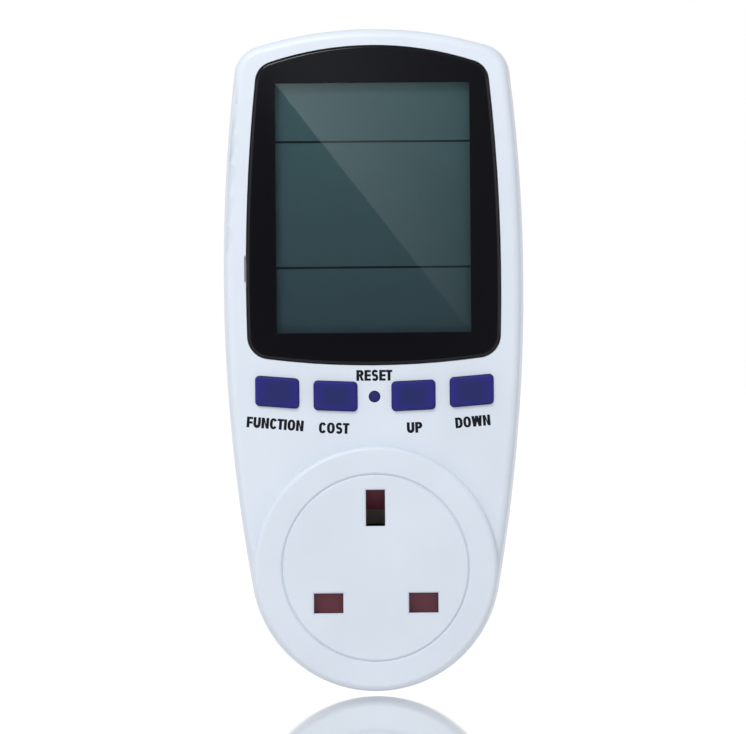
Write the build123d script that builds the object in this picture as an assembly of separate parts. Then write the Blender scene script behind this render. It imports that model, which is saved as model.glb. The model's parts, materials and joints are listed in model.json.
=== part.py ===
"""Plug-in power meter for a three-pin 13 A mains socket, as an assembly of separate pieces.

Frame: +Z up towards the display, the face the user reads looks along -Y, and the pins point
along +Y. The origin is the centre of the round plug base on the face that meets the wall
socket. Millimetres throughout.
"""

from build123d import *
from math import cos, hypot, radians, sin, sqrt, tan
import os

# ---------------------------------------------------------------- driving dimensions
# Depths along Y, front to back.
SOCKET_Y = -40.0  # raised round socket face
FACE_Y = -38.0  # flat front face
PARTING_Y = -20.0  # joint between the two shells
UPPER_BACK_Y = -9.0  # back of the display end
BACK_Y = -4.0  # back of the socket end, round the plug base
PLUG_Y = 0.0  # plug base, seated on the wall socket

# Sloped step in the back, between the socket end and the display end.
STEP_BOTTOM_Z = 38.0
STEP_TOP_Z = 56.0

# Body outline at the parting plane, seen from the front.
LOWER_RADIUS = 29.25
HALF_WIDTH = 35.2
WIDEST_Z = 67.3
TOP_Z = 126.3
TOP_ARC_RADIUS = 93.7
CORNER_RADIUS = 7.6
DRAFT = 2.5  # degrees, on both shells
FACE_EDGE_RADIUS = 1.6
BOSS_EDGE_RADIUS = 1.1
BACK_EDGE_RADIUS = 2.2
PARTING_CHAMFER = 0.3  # on the rear shell, so that the joint reads as a fine groove

# Shell walls.
SIDE_WALL = 2.2
FACE_WALL = 2.8
BACK_WALL = 2.2

# Standard three-pin pattern, about the centre of the round socket face.
PIN_PITCH = 22.2  # live to neutral, and earth above their line
LINE_PIN_Z = -8.2
EARTH_PIN_Z = LINE_PIN_Z + PIN_PITCH
LINE_PIN = (6.35, 4.0)
EARTH_PIN = (4.0, 7.95)
LINE_PIN_LENGTH = 17.7
EARTH_PIN_LENGTH = 22.7
SLEEVE_LENGTH = 9.2
LINE_SLOT = (6.9, 4.7)
EARTH_SLOT = (4.5, 8.5)

# Socket face and plug base, both round inserts held by a flange.
SOCKET_FACE_RADIUS = 21.8
SEAM_GAP = 0.04
SEAM_CHAMFER = 0.45
SOCKET_FLANGE_RADIUS = 23.6
SOCKET_SEAT_Y = -37.5
SOCKET_REAR_Y = -35.8
PLUG_BASE_RADIUS = 20.0
PLUG_FLANGE_RADIUS = 21.8
PLUG_REAR_Y = -9.4

# Display bezel: a black plate set into the face, with a clear window behind its opening.
BEZEL_TOP_Z = 122.0
BEZEL_BOTTOM_Z = 47.4
BEZEL_HALF_WIDTH = 29.7
BEZEL_WIDEST_Z = 67.2
BEZEL_SIDE_RADIUS = 439.0
BEZEL_TOP_RADIUS = 76.5
BEZEL_BOTTOM_RADIUS = 191.0
BEZEL_TOP_CORNER = 4.8
BEZEL_BOTTOM_CORNER = 5.2
BEZEL_EDGE_RADIUS = 0.7
BEZEL_THICKNESS = 1.6
BEZEL_PROUD = 0.25
BEZEL_GAP = 0.15
VIEW_WIDTH = 45.4
VIEW_BOTTOM_Z = 54.9
VIEW_TOP_Z = 113.3
WINDOW_MARGIN = 1.3
WINDOW_THICKNESS = 0.8

# Keys: name, centre x, centre z, width, height, rise of the right edge over the left.
KEY_SLOPE_OUTER = -0.84
KEY_SLOPE_INNER = -0.42
KEYS = {
    "function": (-22.7, 41.2, 10.0, 6.8, KEY_SLOPE_OUTER),
    "cost": (-9.1, 40.2, 10.0, 6.7, KEY_SLOPE_INNER),
    "up": (9.1, 40.2, 10.0, 6.7, -KEY_SLOPE_INNER),
    "down": (22.7, 41.2, 10.0, 6.8, -KEY_SLOPE_OUTER),
}
RESET_KEY = (0.0, 40.0, 1.22)  # x, z, radius
KEY_CORNER = 0.9
KEY_GAP = 0.16
KEY_EDGE_RADIUS = 0.55
KEY_FRONT_Y = FACE_Y - 0.9
KEY_FOOT_Y = -33.2
KEY_TRAVEL = 1.0
RESET_FRONT_Y = FACE_Y - 0.1

# Boards and the parts between them.
BOARD_THICKNESS = 1.6
DISPLAY_BOARD_Y = -27.0  # rear face
POWER_BOARD_Y = -13.8  # rear face
CARRIER_RADIUS = 19.8
CARRIER_FLOOR_Y = -31.3
CARRIER_REAR_Y = -17.5
CONTACT_STOCK = 0.8
CONTACT_GAP = 4.3  # between a contact's jaws, as they stand on a pin

# Shutter behind the socket face, and the spring tower of the contact carrier above it.
SHUTTER_TRAVEL = 4.8
RAMP_TOP_Z = 19.6
SPRING_LENGTH = 8.0
SPRING_RADIUS = 1.6
TOWER_HALF_WIDTH = 7.5
TOWER_TOP_Z = RAMP_TOP_Z + SPRING_LENGTH + 1.7

# Screws.
HOUSING_SCREWS = [(-22.5, 119.5), (22.5, 119.5), (-27.0, 32.5), (27.0, 32.5), (-15.6, -17.2), (15.6, -17.2)]
HOUSING_SCREW_SEAT_Y = -13.5
DISPLAY_SCREWS = [(-28.4, 50.0), (28.4, 50.0), (-28.2, 107.0), (28.2, 107.0)]
POWER_SCREWS = [(-26.0, 62.0), (26.0, 62.0), (-24.5, 108.0), (24.5, 108.0)]
CARRIER_SCREWS = [(-12.5, 9.5), (12.5, 9.5)]


# ---------------------------------------------------------------- helpers
def at_y(y):
    """Plane at depth y whose sketches read as (x, z) and which faces the user."""
    return Plane(origin=(0, y, 0), x_dir=(1, 0, 0), z_dir=(0, -1, 0))


def plate(sketch, y_back, y_front):
    """Extrude an (x, z) sketch from y_back forward to y_front."""
    return extrude(at_y(y_back) * sketch, amount=y_back - y_front)


def block(x0, x1, y0, y1, z0, z1):
    """Box between two corners."""
    return Pos((x0 + x1) / 2, (y0 + y1) / 2, (z0 + z1) / 2) * Box(x1 - x0, y1 - y0, z1 - z0)


def peg(x, z, radius, y0, y1):
    """Cylinder along Y."""
    return plate(Pos(x, z) * Circle(radius), max(y0, y1), min(y0, y1))


def turned(profile):
    """Solid of revolution about the Y axis from (radius, y) points."""
    return revolve(make_face(Polyline(*profile, close=True)), axis=Axis.Y)


def circle_crossing(c1, r1, c2, r2):
    """The crossing of two circles that has the larger z."""
    dx, dz = c2[0] - c1[0], c2[1] - c1[1]
    apart = hypot(dx, dz)
    along = (r1**2 - r2**2 + apart**2) / (2 * apart)
    across = sqrt(r1**2 - along**2)
    foot = (c1[0] + along * dx / apart, c1[1] + along * dz / apart)
    first = (foot[0] + across * dz / apart, foot[1] - across * dx / apart)
    second = (foot[0] - across * dz / apart, foot[1] + across * dx / apart)
    return max(first, second, key=lambda p: p[1])


# ---------------------------------------------------------------- outlines
SIDE_ARC_RADIUS = (HALF_WIDTH**2 + WIDEST_Z**2 - LOWER_RADIUS**2) / (2 * (HALF_WIDTH - LOWER_RADIUS))


def body_outline(inset=0.0):
    """Body outline: a round lower end, long bowed sides tangent to it and an arched top."""
    side_centre = (HALF_WIDTH - SIDE_ARC_RADIUS, WIDEST_Z)
    top_centre = (0, TOP_Z - TOP_ARC_RADIUS)
    side_radius = SIDE_ARC_RADIUS - inset
    lower_radius = LOWER_RADIUS - inset
    reach = hypot(*side_centre)
    low = (-side_centre[0] * lower_radius / reach, -side_centre[1] * lower_radius / reach)
    high = circle_crossing(side_centre, side_radius, top_centre, TOP_ARC_RADIUS - inset)
    widest = (HALF_WIDTH - inset, WIDEST_Z)
    edges = [
        ThreePointArc(low, widest, high),
        ThreePointArc(high, (0, TOP_Z - inset), (-high[0], high[1])),
        ThreePointArc((-high[0], high[1]), (-widest[0], widest[1]), (-low[0], low[1])),
        ThreePointArc((-low[0], low[1]), (0, -lower_radius), low),
    ]
    face = make_face(edges)
    corners = face.vertices().group_by(Axis.Y)[-1]
    return fillet(corners, CORNER_RADIUS - inset)


def section(y, inset):
    """Body outline at depth y, drawn in by the draft from the parting plane."""
    draw_in = abs(y - PARTING_Y) * tan(radians(DRAFT))
    return at_y(y) * body_outline(inset + draw_in)


def drafted(inset, y_wide, y_narrow):
    """Body outline, inset, running from y_wide to y_narrow and drawing in on the way."""
    return loft([section(y_wide, inset), section(y_narrow, inset)], ruled=True)


def grooved(y_wide, y_narrow):
    """Outer body from the parting plane, its edge there bevelled to leave a groove at the joint."""
    shoulder_y = y_wide + PARTING_CHAMFER
    sections = [section(y_wide, PARTING_CHAMFER), section(shoulder_y, 0), section(y_narrow, 0)]
    return loft(sections, ruled=True)


def bezel_outline(grow=0.0):
    """Display window outline: arched top, slightly bowed sides and bottom."""
    side_centre = (BEZEL_HALF_WIDTH - BEZEL_SIDE_RADIUS, BEZEL_WIDEST_Z)
    top_centre = (0, BEZEL_TOP_Z - BEZEL_TOP_RADIUS)
    bottom_centre = (0, BEZEL_BOTTOM_Z + BEZEL_BOTTOM_RADIUS)
    side_radius = BEZEL_SIDE_RADIUS + grow
    high = circle_crossing(side_centre, side_radius, top_centre, BEZEL_TOP_RADIUS + grow)
    flip = circle_crossing(
        (side_centre[0], -side_centre[1]),
        side_radius,
        (0, -bottom_centre[1]),
        BEZEL_BOTTOM_RADIUS + grow,
    )
    low = (flip[0], -flip[1])
    widest = (BEZEL_HALF_WIDTH + grow, BEZEL_WIDEST_Z)
    edges = [
        ThreePointArc(low, widest, high),
        ThreePointArc(high, (0, BEZEL_TOP_Z + grow), (-high[0], high[1])),
        ThreePointArc((-high[0], high[1]), (-widest[0], widest[1]), (-low[0], low[1])),
        ThreePointArc((-low[0], low[1]), (0, BEZEL_BOTTOM_Z - grow), low),
    ]
    face = make_face(edges)
    face = fillet(face.vertices().group_by(Axis.Y)[-1], BEZEL_TOP_CORNER + grow)
    return fillet(face.vertices().group_by(Axis.Y)[0], BEZEL_BOTTOM_CORNER + grow)


def view_outline(grow=0.0):
    """Square-cornered opening over the liquid crystal panel."""
    width, height = VIEW_WIDTH + 2 * grow, VIEW_TOP_Z - VIEW_BOTTOM_Z + 2 * grow
    return Pos(0, (VIEW_BOTTOM_Z + VIEW_TOP_Z) / 2) * Rectangle(width, height)


def key_outline(name, grow=0.0):
    """Key top with upright sides, whose top and bottom edges follow the row's arc."""
    x, z, width, height, rise = KEYS[name]
    half_w, half_h, lift = width / 2 + grow, height / 2 + grow, rise / 2
    corners = [
        (x - half_w, z - half_h - lift),
        (x + half_w, z - half_h + lift),
        (x + half_w, z + half_h + lift),
        (x - half_w, z + half_h - lift),
    ]
    face = make_face(Polyline(*corners, close=True))
    return fillet(face.vertices(), KEY_CORNER + max(grow, -0.4))


def pin_slots(line_size, earth_size):
    """The live, neutral and earth rectangles as one sketch."""
    line = Rectangle(*line_size)
    earth = Pos(0, EARTH_PIN_Z) * Rectangle(*earth_size)
    half = PIN_PITCH / 2
    return Pos(-half, LINE_PIN_Z) * line + Pos(half, LINE_PIN_Z) * line + earth


# ---------------------------------------------------------------- shells
def boss_radius(y):
    """Radius of the drafted round lower end at depth y."""
    return LOWER_RADIUS - abs(y - PARTING_Y) * tan(radians(DRAFT))


def front_outer():
    shell = drafted(0, PARTING_Y, FACE_Y)
    shell = fillet(shell.edges().group_by(Axis.Y)[0], FACE_EDGE_RADIUS)
    start_y = FACE_Y + 4.0
    start, end = (boss_radius(start_y), start_y), (boss_radius(SOCKET_Y), SOCKET_Y)
    boss = turned([(0, start_y), start, end, (0, SOCKET_Y)])
    boss = fillet(boss.edges().group_by(Axis.Y)[0], BOSS_EDGE_RADIUS)
    return shell + boss


def front_housing():
    """Front shell: window recess, key holes, socket seat, and posts for every screw."""
    inner_face = FACE_Y + FACE_WALL
    shell = front_outer()
    shell -= drafted(SIDE_WALL, PARTING_Y, inner_face)

    # Round hole and flange seat for the socket face, with a chamfered rim.
    rim = SOCKET_FACE_RADIUS + SEAM_GAP
    chamfer_y = SOCKET_Y + SEAM_CHAMFER
    shell -= peg(0, 0, rim, SOCKET_Y - 1, FACE_Y + 5)
    shell -= peg(0, 0, SOCKET_FLANGE_RADIUS + 0.15, SOCKET_SEAT_Y, FACE_Y + 5)
    wide = rim + SEAM_CHAMFER + 1
    shell -= turned([(rim - 1, SOCKET_Y - 1), (wide, SOCKET_Y - 1), (rim, chamfer_y), (rim - 1, chamfer_y)])

    # Clearance for the carrier's spring tower, above the socket face.
    tower_half = TOWER_HALF_WIDTH + 0.2
    shell -= block(-tower_half, tower_half, SOCKET_REAR_Y - 0.1, FACE_Y + 5, 12.0, TOWER_TOP_Z + 0.2)

    # Window recess, the opening behind it and the pry notch at its left edge.
    recess_y = FACE_Y - BEZEL_PROUD + BEZEL_THICKNESS + 0.15
    shell -= plate(bezel_outline(BEZEL_GAP), recess_y, FACE_Y - 1)
    shell -= plate(view_outline(WINDOW_MARGIN), inner_face + 1, FACE_Y)
    shell -= block(-BEZEL_HALF_WIDTH - 0.5, -BEZEL_HALF_WIDTH + 0.5, FACE_Y - 1, FACE_Y + 1.2, 67.0, 73.0)

    for name in KEYS:
        shell -= plate(key_outline(name, KEY_GAP), inner_face + 1, FACE_Y - 1)
    x, z, radius = RESET_KEY
    shell -= peg(x, z, radius + KEY_GAP, inner_face + 1, FACE_Y - 1)

    # Screw posts, trimmed to the inside of the shell.
    inside = drafted(SIDE_WALL / 2, PARTING_Y, inner_face - 0.5)
    posts = Part() + [peg(x, z, 3.0, inner_face - 0.2, PARTING_Y - 0.1) for x, z in HOUSING_SCREWS]
    board_front = DISPLAY_BOARD_Y - BOARD_THICKNESS - 0.05
    posts += [peg(x, z, 2.1, inner_face - 0.2, board_front) for x, z in DISPLAY_SCREWS]
    shell += posts & inside
    for x, z in HOUSING_SCREWS:
        shell -= peg(x, z, 1.35, PARTING_Y, inner_face + 0.6)
    for x, z in DISPLAY_SCREWS:
        shell -= peg(x, z, 0.8, DISPLAY_BOARD_Y, inner_face + 0.6)
    return shell


def back_profile(lower_y, upper_y):
    """Side view of the back: deep round the plug, stepping forward behind the display."""
    front, bottom, top = PARTING_Y - 1, -LOWER_RADIUS - 5, TOP_Z + 5
    lower = [(front, bottom), (lower_y, bottom), (lower_y, STEP_BOTTOM_Z)]
    upper = [(upper_y, STEP_TOP_Z), (upper_y, top), (front, top)]
    side_view = Plane(origin=(-50, 0, 0), x_dir=(0, 1, 0), z_dir=(1, 0, 0))
    return extrude(side_view * make_face(Polyline(*lower, *upper, close=True)), amount=100)


def rear_housing():
    """Rear shell with the plug base's seat, screw pillars and board posts."""
    outer = grooved(PARTING_Y, BACK_Y) & back_profile(BACK_Y, UPPER_BACK_Y)
    back_edges = [e for e in outer.edges() if e.center().Y > UPPER_BACK_Y - 0.5]
    outer = fillet(back_edges, BACK_EDGE_RADIUS)
    inner = drafted(SIDE_WALL, PARTING_Y, BACK_Y)
    inner &= back_profile(BACK_Y - BACK_WALL, UPPER_BACK_Y - BACK_WALL)
    shell = outer - inner

    inside = drafted(SIDE_WALL / 2, PARTING_Y, BACK_Y)
    inside &= back_profile(BACK_Y - BACK_WALL / 2, UPPER_BACK_Y - BACK_WALL / 2)
    pillars = Part() + [peg(x, z, 3.3, BACK_Y, PARTING_Y + 0.1) for x, z in HOUSING_SCREWS]
    pillars += [peg(x, z, 3.9, BACK_Y, HOUSING_SCREW_SEAT_Y - 2) for x, z in HOUSING_SCREWS]
    pillars += [peg(x, z, 2.3, UPPER_BACK_Y, POWER_BOARD_Y + 0.05) for x, z in POWER_SCREWS]
    shell += pillars & inside
    for x, z in HOUSING_SCREWS:
        shell -= peg(x, z, 2.6, BACK_Y + 1, HOUSING_SCREW_SEAT_Y)
        shell -= peg(x, z, 1.55, BACK_Y, PARTING_Y - 1)
    for x, z in POWER_SCREWS:
        shell -= peg(x, z, 1.0, UPPER_BACK_Y - 1.0, POWER_BOARD_Y - 1)
    shell -= peg(0, 0, PLUG_BASE_RADIUS + 0.1, BACK_Y + 1, BACK_Y - BACK_WALL - 1)
    return shell


# ---------------------------------------------------------------- socket side
def socket_face():
    """Round insert with the three slots, a locating flange and two screw posts."""
    disc = peg(0, 0, SOCKET_FACE_RADIUS, SOCKET_Y, SOCKET_SEAT_Y)
    disc = chamfer(disc.edges().group_by(Axis.Y)[0], SEAM_CHAMFER)
    disc += peg(0, 0, SOCKET_FLANGE_RADIUS, SOCKET_SEAT_Y + 0.1, SOCKET_REAR_Y)
    disc += peg(0, 0, SOCKET_FACE_RADIUS, SOCKET_SEAT_Y, SOCKET_REAR_Y)
    disc += [peg(x, z, 2.2, SOCKET_REAR_Y, CARRIER_FLOOR_Y - 0.05) for x, z in CARRIER_SCREWS]
    disc -= plate(pin_slots(LINE_SLOT, EARTH_SLOT), SOCKET_REAR_Y + 1, SOCKET_Y - 1)
    lead_in = plate(
        pin_slots((LINE_SLOT[0] + 0.5, LINE_SLOT[1] + 0.5), (EARTH_SLOT[0] + 0.5, EARTH_SLOT[1] + 0.5)),
        SOCKET_Y + 0.25,
        SOCKET_Y - 0.5,
    )
    disc -= lead_in
    for x, z in CARRIER_SCREWS:
        disc -= peg(x, z, 0.95, CARRIER_FLOOR_Y + 1, SOCKET_REAR_Y - 1.2)
    return disc


# Shutter, at rest over the line slots and half across the earth slot.
SHUTTER_FRONT_Y = SOCKET_REAR_Y + 0.25
SHUTTER_REAR_Y = CARRIER_FLOOR_Y - 0.2
FLAP_BOTTOM_Z = LINE_PIN_Z - LINE_SLOT[1] / 2 - 0.35
FLAP_TOP_Z = LINE_PIN_Z + LINE_SLOT[1] / 2 + 0.75
RAMP_FOOT_Z = 13.6


def shutter():
    """Sliding shutter: two flaps joined by a yoke, and a ramp that the earth pin lifts."""
    half = PIN_PITCH / 2 + LINE_SLOT[0] / 2 + 0.7
    middle_y = (SHUTTER_FRONT_Y + SHUTTER_REAR_Y) / 2
    flaps = block(-half, half, SHUTTER_FRONT_Y, middle_y, FLAP_BOTTOM_Z, FLAP_TOP_Z)
    stems = block(-5.6, -3.0, SHUTTER_FRONT_Y, middle_y, FLAP_TOP_Z - 1, RAMP_TOP_Z - 5)
    stems += block(3.0, 5.6, SHUTTER_FRONT_Y, middle_y, FLAP_TOP_Z - 1, RAMP_TOP_Z - 5)
    side_view = Plane(origin=(-5.6, 0, 0), x_dir=(0, 1, 0), z_dir=(1, 0, 0))
    ramp_points = [
        (SHUTTER_FRONT_Y, RAMP_TOP_Z - 0.9),
        (SHUTTER_REAR_Y, RAMP_FOOT_Z),
        (SHUTTER_REAR_Y, RAMP_TOP_Z - 0.9),
    ]
    ramp = extrude(side_view * make_face(Polyline(*ramp_points, close=True)), amount=11.2)
    head = block(-5.6, 5.6, SHUTTER_FRONT_Y, SHUTTER_REAR_Y, RAMP_TOP_Z - 1, RAMP_TOP_Z)
    cheeks = block(-5.6, -2.6, SHUTTER_FRONT_Y, SHUTTER_REAR_Y, RAMP_FOOT_Z, RAMP_TOP_Z - 0.5)
    cheeks += block(2.6, 5.6, SHUTTER_FRONT_Y, SHUTTER_REAR_Y, RAMP_FOOT_Z, RAMP_TOP_Z - 0.5)
    return flaps + stems + ramp + head + cheeks


def shutter_spring():
    """Light compression spring above the shutter's head."""
    middle_y = (SHUTTER_FRONT_Y + SHUTTER_REAR_Y) / 2
    coil = Helix(pitch=1.8, height=SPRING_LENGTH - 0.9, radius=SPRING_RADIUS)
    section = Plane(origin=coil @ 0, z_dir=coil % 0) * Circle(0.22)
    wire = sweep(section, path=coil, is_frenet=True)
    return Pos(0, middle_y, RAMP_TOP_Z + 0.45) * wire


def contact_carrier():
    """Insulating body behind the socket face: shutter guide, contact pockets, screw bores."""
    front_y = SOCKET_REAR_Y + 0.05
    body = peg(0, 0, CARRIER_RADIUS, front_y, CARRIER_REAR_Y)
    top_z = TOWER_TOP_Z - 1.6
    body += block(-TOWER_HALF_WIDTH, TOWER_HALF_WIDTH, front_y, CARRIER_FLOOR_Y + 2.5, 12.0, TOWER_TOP_Z)
    half = PIN_PITCH / 2 + LINE_SLOT[0] / 2 + 0.9
    flap_top = FLAP_TOP_Z + SHUTTER_TRAVEL + 0.3
    body -= block(-half, half, front_y, CARRIER_FLOOR_Y, FLAP_BOTTOM_Z - 0.15, flap_top)
    body -= block(-5.8, 5.8, front_y, CARRIER_FLOOR_Y, FLAP_TOP_Z, top_z)
    line_pocket = Rectangle(7.2, 7.4)
    earth_pocket = Rectangle(7.4, 8.8)
    pockets = Pos(0, EARTH_PIN_Z) * earth_pocket
    for x in (-PIN_PITCH / 2, PIN_PITCH / 2):
        pockets += Pos(x, LINE_PIN_Z) * line_pocket
    body -= plate(pockets, CARRIER_REAR_Y + 1, CARRIER_FLOOR_Y - 1)
    for x, z in CARRIER_SCREWS:
        body -= peg(x, z, 2.3, front_y, CARRIER_FLOOR_Y)
        body -= peg(x, z, 2.4, CARRIER_REAR_Y + 1, -28.5)
        body -= peg(x, z, 1.2, -28, CARRIER_FLOOR_Y - 1)
    return body


def clip(width, depth_front, depth_back):
    """Jaw pair of a socket contact about the origin: jaws above and below, joined behind."""
    inner, outer = CONTACT_GAP / 2, CONTACT_GAP / 2 + CONTACT_STOCK
    side_view = Plane(origin=(-width / 2, 0, 0), x_dir=(0, 1, 0), z_dir=(1, 0, 0))
    lip = 0.5
    upper = [
        (depth_front, inner + lip),
        (depth_front + 1.2, inner),
        (depth_back - CONTACT_STOCK, inner),
        (depth_back - CONTACT_STOCK, -inner),
        (depth_front + 1.2, -inner),
        (depth_front, -inner - lip),
        (depth_front, -outer - lip),
        (depth_front + 1.2, -outer),
        (depth_back, -outer),
        (depth_back, outer),
        (depth_front + 1.2, outer),
        (depth_front, outer + lip),
    ]
    return extrude(side_view * make_face(Polyline(*upper, close=True)), amount=width)


CONTACT_FRONT_Y = -31.0
LINE_CONTACT_BACK_Y = -19.0
EARTH_CONTACT_BACK_Y = -15.0
RIVET_PLATE_Y = -11.2  # front face of the strip that a pin is riveted to


def neutral_contact():
    """Neutral clip and, on the same strip, the plate that the neutral pin is riveted to."""
    x, z = -PIN_PITCH / 2, LINE_PIN_Z
    strip = Pos(x, 0, z) * clip(6.4, CONTACT_FRONT_Y, LINE_CONTACT_BACK_Y)
    strip += block(x - 2.5, x + 2.5, LINE_CONTACT_BACK_Y - 0.4, RIVET_PLATE_Y + 0.8, z - 2.95, z - 2.15)
    strip += block(x - 2.5, x + 2.5, RIVET_PLATE_Y, RIVET_PLATE_Y + 0.8, z - 2.95, z + 2.6)
    return strip - peg(x, z, 1.25, RIVET_PLATE_Y - 1, RIVET_PLATE_Y + 2)


def live_contact():
    """Live clip with the tail that the shunt is soldered to."""
    x, z = PIN_PITCH / 2, LINE_PIN_Z
    strip = Pos(x, 0, z) * clip(6.4, CONTACT_FRONT_Y, LINE_CONTACT_BACK_Y)
    tail_y = LINE_CONTACT_BACK_Y + 2.4
    strip += block(x - 2.0, x + 2.0, LINE_CONTACT_BACK_Y - 0.4, tail_y, z + 2.15, z + 2.95)
    strip += block(x - 2.0, x + 2.0, tail_y - 0.8, tail_y, z + 2.15, z + 8.0)
    return strip


def live_bar():
    """Strip from the live pin's rivet to the shunt."""
    x, z = PIN_PITCH / 2, LINE_PIN_Z
    bar = block(x - 2.5, x + 2.5, RIVET_PLATE_Y, RIVET_PLATE_Y + 0.8, z - 2.6, z + 20.0)
    return bar - peg(x, z, 1.25, RIVET_PLATE_Y - 1, RIVET_PLATE_Y + 2)


def earth_contact():
    """Earth clip, its jaws left and right, and the plate that the earth pin is riveted to."""
    z = EARTH_PIN_Z
    jaws = Rot(0, 90, 0) * clip(8.0, CONTACT_FRONT_Y, EARTH_CONTACT_BACK_Y)
    strip = Pos(0, 0, z) * jaws
    strip += block(-2.95, -2.15, EARTH_CONTACT_BACK_Y - 0.4, RIVET_PLATE_Y + 0.8, z - 3, z + 3)
    strip += block(-2.95, 3.0, RIVET_PLATE_Y, RIVET_PLATE_Y + 0.8, z - 3, z + 3)
    return strip - peg(0, z, 1.25, RIVET_PLATE_Y - 1, RIVET_PLATE_Y + 2)


def shunt_resistor():
    """Resistance-alloy strip bridging the live bar and the live contact's tail."""
    x = PIN_PITCH / 2
    tail_y = LINE_CONTACT_BACK_Y + 2.4
    foot = block(x - 1.8, x + 1.8, tail_y, tail_y + 0.7, LINE_PIN_Z + 4.0, LINE_PIN_Z + 12.0)
    head = block(x - 1.8, x + 1.8, RIVET_PLATE_Y - 0.7, RIVET_PLATE_Y, LINE_PIN_Z + 11.3, LINE_PIN_Z + 19.0)
    web = block(x - 1.8, x + 1.8, tail_y, RIVET_PLATE_Y, LINE_PIN_Z + 11.3, LINE_PIN_Z + 12.0)
    return foot + head + web


# ---------------------------------------------------------------- plug side
def plug_base():
    """Round insert that carries the pins and stands out of the rear shell."""
    seat_y = BACK_Y - BACK_WALL
    base = peg(0, 0, PLUG_BASE_RADIUS, PLUG_Y, seat_y - 0.1)
    base = fillet(base.edges().group_by(Axis.Y)[-1], 0.8)
    flange = peg(0, 0, PLUG_FLANGE_RADIUS, seat_y - 0.1, PLUG_REAR_Y)
    for x, z in HOUSING_SCREWS:
        flange -= peg(x, z, 4.1, seat_y, PLUG_REAR_Y - 1)
    base += flange
    sleeve_slot = (LINE_PIN[0] + 0.06, LINE_PIN[1] + 0.06)
    earth_slot = (EARTH_PIN[0] + 0.06, EARTH_PIN[1] + 0.06)
    base -= plate(pin_slots(sleeve_slot, earth_slot), PLUG_Y + 1, PLUG_REAR_Y + 3.0)
    shank_slot = (LINE_PIN[0] - 1.3, LINE_PIN[1] - 1.3)
    base -= plate(pin_slots(shank_slot, (3.06, 6.06)), PLUG_Y, PLUG_REAR_Y - 1)
    return base


def blade(x, z, size, y_tip, y_root):
    """Rectangular pin with a bevelled tip and eased long edges."""
    bar = plate(Pos(x, z) * Rectangle(*size), y_tip, y_root)
    bar = chamfer(bar.edges().group_by(Axis.Y)[-1], 0.9)
    long_edges = [e for e in bar.edges().filter_by(Axis.Y)]
    return fillet(long_edges, 0.3)


def line_pin(x):
    """Live or neutral pin: bare tip, necked shank under the sleeve, riveted tail."""
    place = Pos(x, LINE_PIN_Z)
    tip = blade(x, LINE_PIN_Z, LINE_PIN, LINE_PIN_LENGTH, SLEEVE_LENGTH)
    neck = Rectangle(LINE_PIN[0] - 1.36, LINE_PIN[1] - 1.36)
    shank = plate(place * neck, SLEEVE_LENGTH, PLUG_REAR_Y - 0.1)
    collar = plate(place * Rectangle(6.0, 4.4), PLUG_REAR_Y - 0.1, RIVET_PLATE_Y + 0.8)
    tail = peg(x, LINE_PIN_Z, 1.2, RIVET_PLATE_Y + 1, RIVET_PLATE_Y - 0.8)
    return tip + shank + collar + tail


def earth_pin():
    """Earth pin: full section from the plug face, necked where the base grips it."""
    place = Pos(0, EARTH_PIN_Z)
    tip = blade(0, EARTH_PIN_Z, EARTH_PIN, EARTH_PIN_LENGTH, PLUG_REAR_Y + 3.05)
    shank = plate(place * Rectangle(3.0, 6.0), PLUG_REAR_Y + 3.05, PLUG_REAR_Y - 0.1)
    collar = plate(place * Rectangle(5.0, 7.5), PLUG_REAR_Y - 0.1, RIVET_PLATE_Y + 0.8)
    tail = peg(0, EARTH_PIN_Z, 1.2, RIVET_PLATE_Y + 1, RIVET_PLATE_Y - 0.8)
    return tip + shank + collar + tail


def pin_sleeve(x):
    """Insulating sleeve over the root of a live or neutral pin."""
    place = Pos(x, LINE_PIN_Z)
    outer = plate(place * RectangleRounded(*LINE_PIN, 0.4), SLEEVE_LENGTH, PLUG_REAR_Y + 3.05)
    bore = plate(place * Rectangle(LINE_PIN[0] - 1.3, LINE_PIN[1] - 1.3), SLEEVE_LENGTH + 1, PLUG_REAR_Y)
    return outer - bore


# ---------------------------------------------------------------- display
BEZEL_FRONT_Y = FACE_Y - BEZEL_PROUD
BEZEL_REAR_Y = BEZEL_FRONT_Y + BEZEL_THICKNESS
LCD_FRONT_Y = FACE_Y + FACE_WALL + 0.1


def display_bezel():
    bezel = plate(bezel_outline(), BEZEL_REAR_Y, BEZEL_FRONT_Y)
    bezel = fillet(bezel.edges().group_by(Axis.Y)[0], BEZEL_EDGE_RADIUS)
    return bezel - plate(view_outline(), BEZEL_REAR_Y + 1, BEZEL_FRONT_Y - 1)


def display_window():
    """Clear pane behind the bezel, in the ledge's opening."""
    pane_y = BEZEL_REAR_Y + 0.05
    return plate(view_outline(WINDOW_MARGIN - 0.1), pane_y + WINDOW_THICKNESS, pane_y)


def lcd_layer(half_width, z0, z1, y0, y1):
    return block(-half_width, half_width, y0, y1, z0, z1)


LCD_BOTTOM_Z = 51.2
LCD_TOP_Z = 114.8
LCD_HALF_WIDTH = 24.6
POLARISER = 0.2
LCD_PLATE = 1.1
LCD_REAR_Y = LCD_FRONT_Y + 2 * POLARISER + 2 * LCD_PLATE


def lcd_front_polariser():
    return lcd_layer(23.8, 54.1, 114.1, LCD_FRONT_Y, LCD_FRONT_Y + POLARISER)


def lcd_front_glass():
    y = LCD_FRONT_Y + POLARISER
    return lcd_layer(LCD_HALF_WIDTH, LCD_BOTTOM_Z, LCD_TOP_Z, y, y + LCD_PLATE)


def lcd_rear_glass():
    y = LCD_FRONT_Y + POLARISER + LCD_PLATE
    return lcd_layer(LCD_HALF_WIDTH, LCD_BOTTOM_Z + 2.6, LCD_TOP_Z, y, y + LCD_PLATE)


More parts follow.
